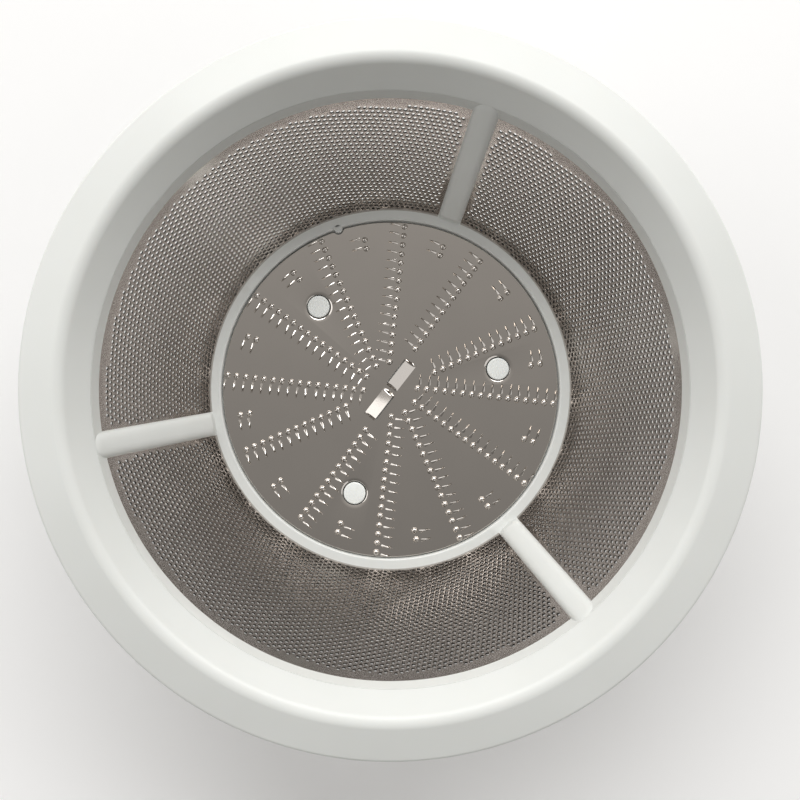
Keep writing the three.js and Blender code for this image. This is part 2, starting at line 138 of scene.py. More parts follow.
def swept(section, stations, across, outwards):
    """A closed section carried along stations: each point is the station plus x across plus y outwards.
    A flat face closes each end."""
    section = np.asarray(section)
    offsets = section[:, :1] * across + section[:, 1:] * outwards
    points = (np.asarray(stations)[:, None] + offsets[None]).reshape(-1, 3)
    count, last = len(section), (len(stations) - 1) * len(section)
    ends = np.stack([np.arange(count)[::-1], last + np.arange(count)])
    return points, [grid_faces(len(stations), count, False, True), ends]


def about_axis(shell, angle):
    """A copy of a shell turned about Z by an angle."""
    points, faces = shell
    cos, sin = math.cos(angle), math.sin(angle)
    spin = np.array([[cos, sin, 0], [-sin, cos, 0], [0, 0, 1]])
    return points @ spin, faces


def mesh_of(name, shells, depth=None):
    """A mesh of several closed shells, with its doubles merged and its faces pointing out. The depth,
    where it is given, is a number for every point that the material can read; the sieve panels carry
    their painted-shade mask in it."""
    starts = np.cumsum([0] + [len(points) for points, _ in shells])
    points = np.vstack([points for points, _ in shells])
    faces = []
    for (_, arrays), start in zip(shells, starts):
        for array in arrays:
            faces += (array + start).tolist()
    mesh = bpy.data.meshes.new(name)
    mesh.from_pydata(points, [], faces)
    if depth is not None:
        mesh.attributes.new("depth", "FLOAT", "POINT").data.foreach_set("value", depth)
    work = bmesh.new()
    work.from_mesh(mesh)
    bmesh.ops.remove_doubles(work, verts=work.verts, dist=1e-7)
    bmesh.ops.recalc_face_normals(work, faces=work.faces)
    work.to_mesh(mesh)
    work.free()
    return mesh


def piece(name, shells, material, nodes, sharp=35, depth=None):
    """One object made of shells, which rides on the basket and stands for its nodes. Edges that bend by
    more than the sharp angle stay crisp."""
    mesh = mesh_of(name, shells, depth)
    mesh.shade_smooth()
    mesh.set_sharp_from_angle(angle=math.radians(sharp))
    mesh.materials.append(material)
    obj = bpy.data.objects.new(name, mesh)
    bpy.context.scene.collection.objects.link(obj)
    weights = obj.modifiers.new("weights", "WEIGHTED_NORMAL")
    weights.weight = 100
    weights.keep_sharp = True
    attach(obj, "root")
    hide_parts(*nodes)


def effect(name, inputs, outputs):
    """A new shader node group with these named inputs, each with its usual value, and these float
    outputs."""
    group = bpy.data.node_groups.new(name, "ShaderNodeTree")
    for label, value in inputs.items():
        socket = group.interface.new_socket(label, in_out="INPUT", socket_type="NodeSocketFloat")
        socket.default_value = value
    for label in outputs:
        group.interface.new_socket(label, in_out="OUTPUT", socket_type="NodeSocketFloat")
    return group, group.nodes.new("NodeGroupInput"), group.nodes.new("NodeGroupOutput")


def moulded_skin():
    """Fine moulded skin: the sum of a coarse noise, for the slight waves of a moulding, and a fine one,
    for the grain of the tool. Puts out a height and a slow tint, both from 0 to 1."""
    inputs = {"Waves": 60, "Grain": 2400, "Share": 0.35}
    group, given, result = effect("moulded_skin", inputs, ["Height", "Tint"])
    node, link = group.nodes.new, group.links.new
    place = node("ShaderNodeTexCoord")
    waves = node("ShaderNodeTexNoise")
    grain = node("ShaderNodeTexNoise")
    grain.inputs["Detail"].default_value = 3
    link(place.outputs["Object"], waves.inputs["Vector"])
    link(place.outputs["Object"], grain.inputs["Vector"])
    link(given.outputs["Waves"], waves.inputs["Scale"])
    link(given.outputs["Grain"], grain.inputs["Scale"])
    mix = node("ShaderNodeMix")
    link(given.outputs["Share"], mix.inputs["Factor"])
    link(waves.outputs["Fac"], mix.inputs["A"])
    link(grain.outputs["Fac"], mix.inputs["B"])
    link(mix.outputs["Result"], result.inputs["Height"])
    link(waves.outputs["Fac"], result.inputs["Tint"])
    return group


def hairlines():
    """Fine scratches from wiping and washing: a noise that is stretched along one direction, sharpened
    until only thin lines are left, once along X and once along a direction turned by Angle. Puts out a
    mask."""
    group, given, result = effect("hairlines", {"Scale": 300, "Angle": 1.1, "Amount": 0.5}, ["Mask"])
    node, link = group.nodes.new, group.links.new
    place = node("ShaderNodeTexCoord")
    lines = []
    for stretch, turned_by in ((40.0, None), (28.0, "Angle")):
        spin = node("ShaderNodeVectorRotate")
        spin.rotation_type = "Z_AXIS"
        link(place.outputs["Object"], spin.inputs["Vector"])
        if turned_by:
            link(given.outputs[turned_by], spin.inputs["Angle"])
        squeeze = node("ShaderNodeMapping")
        squeeze.inputs["Scale"].default_value = (1, stretch, 1)
        link(spin.outputs["Vector"], squeeze.inputs["Vector"])
        noise = node("ShaderNodeTexNoise")
        noise.inputs["Detail"].default_value = 2
        link(squeeze.outputs["Vector"], noise.inputs["Vector"])
        link(given.outputs["Scale"], noise.inputs["Scale"])
        thin = node("ShaderNodeMapRange")
        thin.inputs["From Min"].default_value = 0.62
        thin.inputs["From Max"].default_value = 0.75
        link(noise.outputs["Fac"], thin.inputs["Value"])
        lines.append(thin)
    both = node("ShaderNodeMath")
    both.operation = "MAXIMUM"
    link(lines[0].outputs["Result"], both.inputs[0])
    link(lines[1].outputs["Result"], both.inputs[1])
    amount = node("ShaderNodeMath")
    amount.operation = "MULTIPLY"
    link(both.outputs["Value"], amount.inputs[0])
    link(given.outputs["Amount"], amount.inputs[1])
    link(amount.outputs["Value"], result.inputs["Mask"])
    return group


def wear():
    """Wear by the bend of the surface. The pointiness is a half where the surface is flat, more along
    an outer edge and less in an inner corner. Both are stretched to a mask and broken up by a noise of
    the given scale."""
    group, given, result = effect("wear", {"Scale": 220}, ["Edge", "Corner"])
    node, link = group.nodes.new, group.links.new
    place = node("ShaderNodeTexCoord")
    bend = node("ShaderNodeNewGeometry")
    patches = node("ShaderNodeTexNoise")
    patches.inputs["Detail"].default_value = 4
    link(place.outputs["Object"], patches.inputs["Vector"])
    link(given.outputs["Scale"], patches.inputs["Scale"])
    for label, near, far in (("Edge", 0.51, 0.58), ("Corner", 0.49, 0.42)):
        mask = node("ShaderNodeMapRange")
        mask.inputs["From Min"].default_value = near
        mask.inputs["From Max"].default_value = far
        broken = node("ShaderNodeMath")
        broken.operation = "MULTIPLY"
        link(bend.outputs["Pointiness"], mask.inputs["Value"])
        link(mask.outputs["Result"], broken.inputs[0])
        link(patches.outputs["Fac"], broken.inputs[1])
        link(broken.outputs["Value"], result.inputs[label])
    return group


skin_effect = moulded_skin()
hairline_effect = hairlines()
wear_effect = wear()


def placed(tree, group, **values):
    """A group placed in a material with its own values."""
    node = tree.nodes.new("ShaderNodeGroup")
    node.node_tree = group
    for label, value in values.items():
        node.inputs[label].default_value = value
    return node


def blended(tree, factor, low, high, colour=True):
    """A value or colour that goes from low to high with a factor. Returns the socket that holds it."""
    mix = tree.nodes.new("ShaderNodeMix")
    mix.data_type = "RGBA" if colour else "FLOAT"
    kind = "RGBA" if colour else "VALUE"
    entry = {(s.name, s.type): s for s in mix.inputs}
    low_value = (*low, 1) if colour else low
    high_value = (*high, 1) if colour else high
    entry[("A", kind)].default_value = low_value
    entry[("B", kind)].default_value = high_value
    tree.links.new(factor, entry[("Factor", "VALUE")])
    return next(s for s in mix.outputs if s.type == kind)


def laid_over(tree, factor, under, colour):
    """A colour laid over the colour that a socket holds, as far as the factor goes. Returns the new
    socket."""
    mix = tree.nodes.new("ShaderNodeMix")
    mix.data_type = "RGBA"
    entry = {(s.name, s.type): s for s in mix.inputs}
    entry[("B", "RGBA")].default_value = (*colour, 1)
    tree.links.new(factor, entry[("Factor", "VALUE")])
    tree.links.new(under, entry[("A", "RGBA")])
    return next(s for s in mix.outputs if s.type == "RGBA")


def plastic(name, pale, deep, roughness, grain=2400, depth=0.00002, worn=0.5, grime=(0.55, 0.5, 0.4)):
    """Moulded plastic: two near shades by the slow tint, a fine skin as bump, hairlines that dull it,
    edges rubbed a little paler and a trace of grime in the corners."""
    material = bpy.data.materials.new(name)
    material.use_nodes = True
    tree = material.node_tree
    shader = tree.nodes["Principled BSDF"]
    skin = placed(tree, skin_effect, Grain=grain)
    lines = placed(tree, hairline_effect, Scale=420, Amount=worn)
    bends = placed(tree, wear_effect)
    colour = blended(tree, skin.outputs["Tint"], deep, pale)
    colour = laid_over(tree, bends.outputs["Edge"], colour, [min(1, 1.08 * part) for part in pale])
    colour = laid_over(tree, bends.outputs["Corner"], colour, grime)
    tree.links.new(colour, shader.inputs["Base Color"])
    rough = blended(tree, lines.outputs["Mask"], roughness, roughness + 0.25, colour=False)
    tree.links.new(rough, shader.inputs["Roughness"])
    bump = tree.nodes.new("ShaderNodeBump")
    bump.inputs["Strength"].default_value = 0.35
    bump.inputs["Distance"].default_value = depth
    tree.links.new(skin.outputs["Height"], bump.inputs["Height"])
    tree.links.new(bump.outputs["Normal"], shader.inputs["Normal"])
    shader.inputs["IOR"].default_value = 1.5
    shader.inputs["Subsurface Weight"].default_value = 0.06
    shader.inputs["Subsurface Radius"].default_value = (0.004, 0.0035, 0.003)
    shader.inputs["Subsurface Scale"].default_value = 0.5
    return material


white_plastic = plastic("white_abs", pale=(0.77, 0.785, 0.765), deep=(0.72, 0.735, 0.71), roughness=0.38)

ring_back = wall_back(lip_top) + 1.1 * mm
ring_outline = rounded(
    [
        (ring_inner, seat + gap),
        (ring_inner, ring_top),
        (wall_back(ring_top), ring_top),
        (wall_back(lip_top), lip_top),
        (ring_back, lip_top),
        (ring_back, seat + gap),
    ],
    np.array([0.1, 0.45, 0.2, 0.1, 0.6, 0.1]) * mm,
)

band_inner = wall_radius(band_bottom) - 0.9 * mm
band_draft = 0.7 * mm
band_low = band_bottom - 2.7 * mm
band_outline = rounded(
    [
        (band_inner, band_bottom),
        (band_inner + band_draft, band_top),
        (band_outer, band_top),
        (band_outer, band_low),
        (wall_back(band_low), band_low),
        (wall_back(band_bottom), band_bottom),
    ],
    np.array([0.25, 0.05, 0.3, 0.5, 0.1, 0.1]) * mm,
)

# Along a rib: up the cone's wall, across it, and outwards through it.
wall_up = np.array([math.sin(cone_angle), 0, math.cos(cone_angle)])
wall_across = np.array([0, 1.0, 0])
wall_out = np.array([math.cos(cone_angle), 0, -math.sin(cone_angle)])


def up_wall(height):
    """The point of the cone's inner face over +X at a height."""
    return np.array([wall_radius(height), 0, height])


rib_back = sheet + gap + 1.6 * mm
rib_half = rib_width / 2
rib_section = rounded(
    [(-rib_half, -0.2 * mm), (rib_half, -0.2 * mm), (rib_half, rib_back), (-rib_half, rib_back)],
    np.array([0.1, 0.1, 0.7, 0.7]) * mm,
)
rib_ends = np.array([up_wall(ring_top - 1 * mm), up_wall(band_bottom - 0.5 * mm)])
outer_rib = swept(rib_section, rib_ends, wall_across, wall_out)

key_angle = math.radians(108)
key_place = ring_inner * np.array([math.cos(key_angle), math.sin(key_angle)])
key_side = 1.1 * mm
key_outline = [(0, seat + gap), (key_side, seat + gap), (key_side, ring_top), (0, ring_top)]
key = turned(rounded(key_outline, 0.3 * mm, closed=False), 32, key_place, closed=False)

cage_shells = [turned(ring_outline), turned(band_outline), key]
cage_shells += [about_axis(outer_rib, angle) for angle in rib_angles]
piece("cage", cage_shells, white_plastic, ["cage_frame"])


# ---- Sieve panels ------------------------------------------------------------------------------------
# Three curved panels of bright stainless sheet, 0.4 mm thick, etched with rows of small six-sided
# holes. Each is rolled from a flat blank, so its rows run square to the blank's middle line, and is
# moulded into the cage.

column_pitch = 1.166 * mm
hole_pitch = 1.158 * mm
hole_half_width, hole_half_height = 0.44 * mm, 0.33 * mm
hole_flat = 0.68  # share of the hole's width that its straight upper and lower edges take
back_share = 0.68  # the etched holes narrow to this share of their size behind
crown = 0.035 * mm  # how far the etching rounds the sheet off towards each hole
back_lip = 0.01 * mm  # how thin the sheet is left round a hole's back
cell_point, cell_side = 0.6235, 0.3765  # a cell's half widths, as shares of the column pitch
short_below, short_above = 0.3 * mm, 0.6 * mm  # by which the sheet ends within its box
rib_lap = 1.2 * mm  # how far the sheet reaches under a rib
lower_border, upper_border, side_border = 0.75 * mm, 3 * mm, 0.9 * mm
slant_share = math.sin(cone_angle)  # how far an angle round the cone shrinks on the flat blank
apex = ring_top - (ring_outer + gap * through_wall) / math.tan(cone_angle)  # height of the cone's point


def slant(height):
    """Distance from the cone's point to a height, along the wall."""
    return (height - apex) / math.cos(cone_angle)


def sieve_panel(middle):
    """The flat blank is a honeycomb of cells: column i lies i column pitches from the middle line, and
    every second column is shifted by half a hole pitch. A cell that lies inside the plain border has a
    hole: its six corners are joined to six corners of the hole, in front, through and behind. The blank
    is then rolled up: a point at distance s and angle b from the apex goes to radius s sin c, angle b /
    sin c, height s cos c."""
    low, high = slant(panel_low[2]), slant(panel_high[2])
    half_angle = turn / 6 * slant_share
    columns = int(high * math.sin(half_angle) / column_pitch) + 1
    first, last = int(low * math.cos(half_angle) / hole_pitch) - 1, int(high / hole_pitch) + 2
    i, j = np.meshgrid(np.arange(-columns, columns + 1), np.arange(first, last))
    across = (i * column_pitch).ravel()
    along = ((j + 0.5 * (i % 2)) * hole_pitch).ravel()
    distance = np.hypot(across, along)
    off_middle = np.abs(np.arctan2(across, along))
    edge_gap = distance * np.sin(half_angle - off_middle)  # from the middle of the nearer rib
    inside = (distance > low + short_below) & (distance < high - short_above)
    inside &= edge_gap > rib_half - rib_lap
    across, along, distance, edge_gap = across[inside], along[inside], distance[inside], edge_gap[inside]
    holed = (distance > slant(ring_top) + lower_border) & (distance < slant(band_bottom) - upper_border)
    holed &= edge_gap > rib_half + side_border
    wide, narrow, tall = column_pitch * cell_point, column_pitch * cell_side, hole_pitch / 2
    cell = np.array([(wide, 0), (narrow, tall), (-narrow, tall)])
    cell = np.vstack([cell, -cell])
    hole = np.array([(hole_half_width, 0), (hole_half_width * hole_flat, hole_half_height)])
    hole = np.vstack([hole, hole[1:] * (-1, 1)])
    hole = np.vstack([hole, -hole])
    centres = np.stack([across, along], -1)[:, None]
    layers = [(cell, 0.0), (hole, crown), (hole * back_share, sheet - back_lip), (cell, sheet)]
    rings = [(centres + shape, depth) for shape, depth in layers]
    flat = [np.insert(xy, 2, depth, axis=-1) for xy, depth in rings]
    points = np.stack(flat, 1).reshape(-1, 3)
    corner = np.arange(6)
    nearby = (corner + 1) % 6
    band = np.arange(3)[:, None] * 6
    quads = np.stack([band + corner, band + nearby, band + 6 + nearby, band + 6 + corner], -1)
    quads = quads.reshape(-1, 4)
    lids = np.array([[0, 5, 4, 3], [0, 3, 2, 1], [18, 19, 20, 21], [18, 21, 22, 23]])
    base = (np.arange(len(centres)) * 24)[:, None, None]
    open_faces = (base[holed] + quads[None]).reshape(-1, 4)
    shut_faces = (base[~holed] + lids[None]).reshape(-1, 4)
    reach = np.hypot(points[:, 0], points[:, 1])
    round_cone = np.arctan2(-points[:, 0], points[:, 1]) / slant_share + middle
    radius = reach * math.sin(cone_angle) + points[:, 2] * math.cos(cone_angle)
    height = apex + reach * math.cos(cone_angle) - points[:, 2] * math.sin(cone_angle)
    rolled = np.stack([radius * np.cos(round_cone), radius * np.sin(round_cone), height], -1)
    return rolled, [open_faces, shut_faces]


def hole_shade_mask(panel):
    """Where shade is painted in a panel's holes: 1 on the third of a cell's four rings of six, round the
    back of each hole, else 0, so the holes' walls darken towards their backs."""
    ring = np.arange(len(panel[0])) // 6 % 4
    return (ring == 2).astype(float)


def bright_steel(name, colour, shade, roughness, scratches, strength, scale=300):
    """Bare steel: a mirror whose tint wanders slowly between two shades, dulled and cut by
    hairlines."""
    material = bpy.data.materials.new(name)
    material.use_nodes = True
    tree = material.node_tree
    shader = tree.nodes["Principled BSDF"]
    shader.inputs["Metallic"].default_value = 1
    skin = placed(tree, skin_effect, Waves=90, Grain=3000, Share=0.2)
    lines = placed(tree, hairline_effect, Scale=scale, Amount=scratches)
    tree.links.new(blended(tree, skin.outputs["Tint"], shade, colour), shader.inputs["Base Color"])
    rough = blended(tree, lines.outputs["Mask"], roughness, roughness + 0.22, colour=False)
    tree.links.new(rough, shader.inputs["Roughness"])
    bump = tree.nodes.new("ShaderNodeBump")
    bump.inputs["Strength"].default_value = strength
    bump.inputs["Distance"].default_value = 0.02 * mm
    tree.links.new(skin.outputs["Height"], bump.inputs["Height"])
    tree.links.new(bump.outputs["Normal"], shader.inputs["Normal"])
    return material


def paint_hole_shade(material, shade_colour):
    """Paints shade into a material: its colour falls to a dark one as far as the piece's depth attribute
    goes, standing in for the shade inside an etched hole."""
    tree = material.node_tree
    entry = tree.nodes["Principled BSDF"].inputs["Base Color"]
    bright = entry.links[0].from_socket
    # The depth attribute is the mask of where shade is painted.
    depth = tree.nodes.new("ShaderNodeAttribute")
    depth.attribute_name = "depth"
    tree.links.new(laid_over(tree, depth.outputs["Fac"], bright, shade_colour), entry)


sieve_tints = (0.6, 0.565, 0.535), (0.52, 0.485, 0.46)
sieve_steel = bright_steel("sieve_steel", *sieve_tints, roughness=0.13, scratches=0.5, strength=0.03)
# Painted shade: the sieve's holes darken to near black towards their backs, where light would be
# trapped.
paint_hole_shade(sieve_steel, (0.05, 0.045, 0.04))
for number, angle in enumerate(rib_angles):
    node = f"mesh_panel_{number + 1}"
    panel = sieve_panel(angle + turn / 6)
    # Each panel carries its painted-shade mask in its depth attribute.
    piece(f"sieve_panel_{number + 1}", [panel], sieve_steel, [node], 50, hole_shade_mask(panel))


# ---- Rib strips --------------------------------------------------------------------------------------
# Three crowned strips of the cage's white plastic, one over each rib. They are welded on from inside,
# through the slot between two panels, and their round upper ends lap the band.

strip_height = 2.2 * mm
strip_bottom = ring_top - 0.3 * mm
strip_lap = 4.2 * mm  # how far a strip reaches over the band
strip_length = (band_bottom - strip_bottom) * through_wall + strip_lap
strip_fade = 3.4 * mm  # how far up the wall the strip rises out of the ring
foot_share = 0.12  # of its full height that it has at its foot


def smooth_rise(value):
    """0 below 0, 1 above 1, and 3 t^2 - 2 t^3 between."""
    value = np.clip(value, 0, 1)
    return value * value * (3 - 2 * value)


def rib_strip():
    """Stations climb the wall. Each section is half a superellipse, x = w |cos t|^0.7, y = h |sin
    t|^0.8. At the foot h rises smoothly out of the ring, and near the top w follows a half circle and h
    falls with it."""
    straight = strip_length - rib_half
    foot = np.linspace(0, strip_fade, 10)
    shaft = np.linspace(strip_fade, straight, 20)
    top = straight + rib_half * np.sin(np.linspace(0, math.pi / 2, 15))
    climb = np.concatenate([foot, shaft[1:], top[1:]])
    past = np.clip(climb - straight, 0, rib_half * 0.999)
    width = np.sqrt(rib_half**2 - past**2)
    rise = foot_share + (1 - foot_share) * smooth_rise(climb / strip_fade)
    height = strip_height * (width / rib_half) ** 0.6 * rise
    angle = np.linspace(0, math.pi, 19)
    across = np.sign(np.cos(angle)) * np.abs(np.cos(angle)) ** 0.7
    up = np.abs(np.sin(angle)) ** 0.8
    back = 0.5 * mm
    sections_x = np.hstack([np.outer(width, across), -width[:, None], width[:, None]])
    sections_y = np.hstack([np.outer(-height, up), np.full((len(climb), 2), back)])
    start = up_wall(strip_bottom)
    points = start + climb[:, None, None] * wall_up
    points = points + sections_x[..., None] * wall_across + sections_y[..., None] * wall_out
    rows, columns = sections_x.shape
    ends = np.stack([np.arange(columns)[::-1], (rows - 1) * columns + np.arange(columns)])
    return points.reshape(-1, 3), [grid_faces(rows, columns, False, True), ends]


strip = rib_strip()
for number, angle in enumerate(rib_angles):
    node = f"rib_strip_{number + 1}"
    shell = about_axis(strip, angle)
    piece(f"{node}_moulding", [shell], white_plastic, [node], sharp=60)


# ---- Rim ring ----------------------------------------------------------------------------------------
# The white ring that caps the cage: a funnel, a soft crest, a broad flange that falls gently outwards
# and a short skirt. It is a second moulding in the same ABS, snapped over the cage's band.

funnel_angle = math.radians(50)
flange_angle = math.radians(15)
rim_wall = 1.8 * mm
funnel_foot = band_top + 0.06 * mm  # bears on the band, so only a hairline shows between them
funnel_inner = band_inner + band_draft
funnel_width = 4.9 * mm
crest_radius = funnel_inner + funnel_width
crest_height = band_top + gap + funnel_width * math.tan(funnel_angle)
flange_outer = rim_high[0]
edge_height = crest_height - (flange_outer - crest_radius) * math.tan(flange_angle)
edge_low = edge_height - 4 * mm
collar_inner = band_outer + gap
collar_outer = collar_inner + rim_wall


def under_flange(radius):
    """Height of the flange's lower face: its upper face less the wall, measured upright."""
    fall = (radius - crest_radius) * math.tan(flange_angle)
    return crest_height - rim_wall / math.cos(flange_angle) - fall


rim_outline = rounded(
    [
        (funnel_inner, funnel_foot),
        (crest_radius, crest_height),
        (flange_outer, edge_height),
        (flange_outer, edge_low),
        (flange_outer - rim_wall, edge_low),
        (flange_outer - rim_wall, under_flange(flange_outer - rim_wall)),
        (collar_outer, under_flange(collar_outer)),
        (collar_outer, rim_low[2]),
        (collar_inner, rim_low[2]),
        (collar_inner, funnel_foot),
    ],
    np.array([0.08, 2.8, 1.1, 0.5, 0.4, 0.6, 0.6, 0.4, 0.3, 0.04]) * mm,
    steps=8,
)
piece("rim_ring_moulding", [turned(rim_outline, 288)], white_plastic, ["rim_ring"])


# ---- Base cup ----------------------------------------------------------------------------------------
# The cup under the cage: the floor that the disc lies on and the skirt that the basket stands on. It is
# moulded in the same ABS and welded to the cage's ring, and twelve webs stiffen its floor from below.

rivet_low, rivet_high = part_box("disc_rivet_1")
rivet_circle = 28 * mm
rivet_angles = math.radians(10.9) + turn * np.arange(3) / 3
rivet_places = rivet_circle * np.stack([np.cos(rivet_angles), np.sin(rivet_angles)], -1)
rivet_radius = 2.8 * mm
hole_radius = rivet_radius + gap
small_sides = 64  # of rivets and their holes
floor_bottom = seat - 1.8 * mm
floor_hole = 24 * mm
skirt_wall = 2.2 * mm
skirt_outer = wall_back(lip_top) + skirt_wall / 2
foot_outer = skirt_outer - 0.8 * mm
foot_inner = foot_outer - skirt_wall
cup_outline = rounded(
    [
        (floor_hole, seat),
        (skirt_outer, seat),
        (foot_outer, 0),
        (foot_inner, 0),
        (foot_inner, floor_bottom),
        (floor_hole, floor_bottom),
    ],
    np.array([0.1, 0.3, 0.5, 0.5, 0.8, 0.1]) * mm,
)
web_count = 12
web_half = 0.7 * mm
web_gap, web_lap = 1.7 * mm, 0.8 * mm  # to the hub, and into the skirt
web_low = floor_bottom - 7 * mm
web_section = rounded(
    [(-web_half, web_low), (web_half, web_low), (web_half, seat), (-web_half, seat)],
    0.3 * mm,
)
web_ends = np.array([(hub_high[0] + web_gap, 0, 0), (foot_inner + web_lap, 0, 0)])
web = swept(web_section, web_ends, np.array([0, 1.0, 0]), np.array([0, 0, 1.0]))


def cut_out(shell, cutters):
    """A shell less others, by an exact boolean of their meshes. Faces of one length share an array."""
    whole = bpy.data.objects.new("whole", mesh_of("whole", [shell]))
    cutter = bpy.data.objects.new("cutter", mesh_of("cutter", cutters))
    for obj in (whole, cutter):
        bpy.context.scene.collection.objects.link(obj)
    cut = whole.modifiers.new("cut", "BOOLEAN")
    cut.operation = "DIFFERENCE"
    cut.solver = "EXACT"
    cut.object = cutter
    result = bpy.data.meshes.new_from_object(whole.evaluated_get(bpy.context.evaluated_depsgraph_get()))
    points = np.array([vertex.co for vertex in result.vertices])
    loops = {}
    for polygon in result.polygons:
        loops.setdefault(len(polygon.vertices), []).append(list(polygon.vertices))
    for obj in (whole, cutter):
        bpy.data.objects.remove(obj)
    return points, [np.array(group) for group in loops.values()]


drill_low, drill_high = floor_bottom - mm, seat + mm
floor_drill = np.array([
    (0, drill_low), (hole_radius, drill_low), (hole_radius, drill_high), (0, drill_high),
])
floor_drills = [turned(floor_drill, small_sides, place, closed=False) for place in rivet_places]
cup_shells = [cut_out(turned(cup_outline), floor_drills)]
cup_shells += [about_axis(web, rib_angles[0] + turn * i / web_count) for i in range(web_count)]
piece("base_cup_moulding", cup_shells, white_plastic, ["base_cup"])


# ---- Base hub ----------------------------------------------------------------------------------------
# The hub fills the middle of the floor and carries the drive. It is moulded in white ABS, its flange
# bears on the floor from below, and its boss has a round pocket for the coupling.

coupling_low, coupling_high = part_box("drive_coupling")
hub_flange_top = floor_bottom - gap
hub_flange_bottom = hub_flange_top - 2.4 * mm
least_radius = 1e-9  # of a corner that is left sharp
boss_radius = coupling_high[0] + 1.5 * mm
pocket_radius = 10 * mm + gap
pocket_top = coupling_high[2] + gap
hub_outline = rounded(
    [
        (0, seat),
        (floor_hole - gap, seat),
        (floor_hole - gap, hub_flange_top),
        (hub_high[0], hub_flange_top),
        (hub_high[0], hub_flange_bottom),
        (boss_radius, hub_flange_bottom),
        (boss_radius, hub_low[2]),
        (pocket_radius, hub_low[2]),
        (pocket_radius, pocket_top),
        (0, pocket_top),
    ],
    np.array([0, 0.2, 0.1, 0.2, 0.6, 1.2, 0.6, 0.3, 0.2, 0]) * mm + least_radius,
    closed=False,
)
hub_shell = turned(hub_outline, closed=False)
piece("base_hub_moulding", [hub_shell], white_plastic, ["base_hub"])


# ---- Grating disc ------------------------------------------------------------------------------------
# The disc that shreds the fruit: mirror-polished stainless sheet with a turned-down edge. Its thorns
# are punched up through the sheet and lean the way the disc turns, and two cutters at its centre are
# raised louvres.

disc_top = disc_low[2] + 0.6 * mm
bead_radius, bead_height = 0.76 * mm, 0.6 * mm
bead_sides, bead_rings = 10, 5
bead_stretch = 1.12  # how much longer than wide a bead is
bead_sink = 0.04 * mm  # how far its edge lies under the plate's face
bead_back = 0.6 * mm  # how far behind its row's line a bead lies
claw_start, claw_tip = 0.4 * mm, 3.35 * mm
claw_out = 0.45 * mm  # how much further from the disc's middle a claw is than its bead
claw_half, claw_height = 0.37 * mm, 1.15 * mm
claw_ridge, claw_keel = 0.08 * mm, 0.22 * mm  # of its section, above and below its sides
row_count = 12
short_rows, centred_rows = (0, 1, 6, 7), (0, 6)
row_pitch = 2.32 * mm
row_offset = 1.6 * mm
first_row = math.radians(23.6)
long_start, short_start = 6.9 * mm, 12.1 * mm
edge_margin = 1 * mm
pair_inset = 6.3 * mm
pair_turn = math.radians(17)
shorter_by = 0.12  # the most that a bead or claw falls short of its full height
usual_lean = 0.05  # how far sideways one leans for each unit of its length


def bead():
    """The dimple behind a claw: a dome whose height is that of the bead times cos t as its radius grows
    as sin t."""
    tilt = np.linspace(0.02, math.pi / 2, bead_rings)
    angle = (turn * np.arange(bead_sides) / bead_sides)[:, None]
    x = bead_radius * np.sin(tilt) * np.cos(angle)
    y = bead_radius * np.sin(tilt) * np.sin(angle) * bead_stretch - bead_back
    z = np.broadcast_to(bead_height * np.cos(tilt) - bead_sink, x.shape)
    points = np.stack([x, y, z], -1).reshape(-1, 3)
    top = np.arange(bead_sides)[None] * bead_rings
    edge = top[:, ::-1] + bead_rings - 1
    return points, [grid_faces(bead_sides, bead_rings, True, False), top, edge]


def claw():
    """The pointed tongue ahead of a bead. Along its length its half width falls evenly to the point,
    and it climbs as the power 1.15 of the distance. Its section is a low ridge over a flat
    underside."""
    share = np.array([0, 0.25, 0.5, 0.75, 0.98])
    half = claw_half * (1 - share)
    climb = claw_height * share**1.15 - claw_ridge
    y = claw_start + (claw_tip - claw_start) * share
    x = half[:, None] * np.array([-1, 0, 1, 1, -1]) + claw_out
    z = climb[:, None] + np.array([0, claw_ridge, 0, -claw_keel, -claw_keel])
    points = np.stack([x, np.broadcast_to(y[:, None], x.shape), z], -1).reshape(-1, 3)
    count = len(share)
    ends = np.stack([np.arange(5)[::-1], (count - 1) * 5 + np.arange(5)])
    return points, [grid_faces(count, 5, False, True), ends]


def thorn_places():
    """Distance along, offset beside and direction of every thorn: twelve rows, and a pair between each
    two."""
    rows = []
    for row in range(row_count):
        angle = first_row + turn / row_count * row
        start = short_start if row in short_rows else long_start
        beside = 0 if row in centred_rows else row_offset
        along = np.arange(start, disc_radius - edge_margin + 1e-6, row_pitch)
        rows.append(np.stack([along, np.full_like(along, beside), np.full_like(along, angle)], -1))
        pair = disc_radius - pair_inset + np.array([0, row_pitch])
        rows.append(np.stack([pair, np.zeros(2), np.full(2, angle + pair_turn)], -1))
    return np.vstack(rows)


def punched(shape, seed):
    """A bead or a claw at every place: moved along and beside its row, then turned by the row's
    direction. Each is a little shorter and leans a little its own way, as punched ones do, by a fixed
    random draw."""
    points, faces = shape
    along, beside, angle = thorn_places().T
    draw = np.random.default_rng(seed)
    scale = 1 - draw.uniform(0, shorter_by, len(along))[:, None]
    lean = draw.normal(0, usual_lean, len(along))[:, None]
    x = points[None, :, 0] + lean * points[None, :, 1] + along[:, None]
    y = points[None, :, 1] + beside[:, None]
    z = points[None, :, 2] * scale + disc_top
    cos, sin = np.cos(angle)[:, None], np.sin(angle)[:, None]
    moved = np.stack([x * cos - y * sin, x * sin + y * cos, z], -1).reshape(-1, 3)
    starts = (np.arange(len(along)) * len(points))[:, None, None]
    return moved, [(starts + array[None]).reshape(-1, array.shape[1]) for array in faces]


louvre_length = 8.4 * mm
louvre_width = 3.1 * mm
louvre_height = 1.3 * mm
louvre_sheet = 0.5 * mm
louvre_flanks = 12  # each flank takes one part in so many of its length
louvre_start = 0.4 * mm
louvre_angle = math.radians(52)


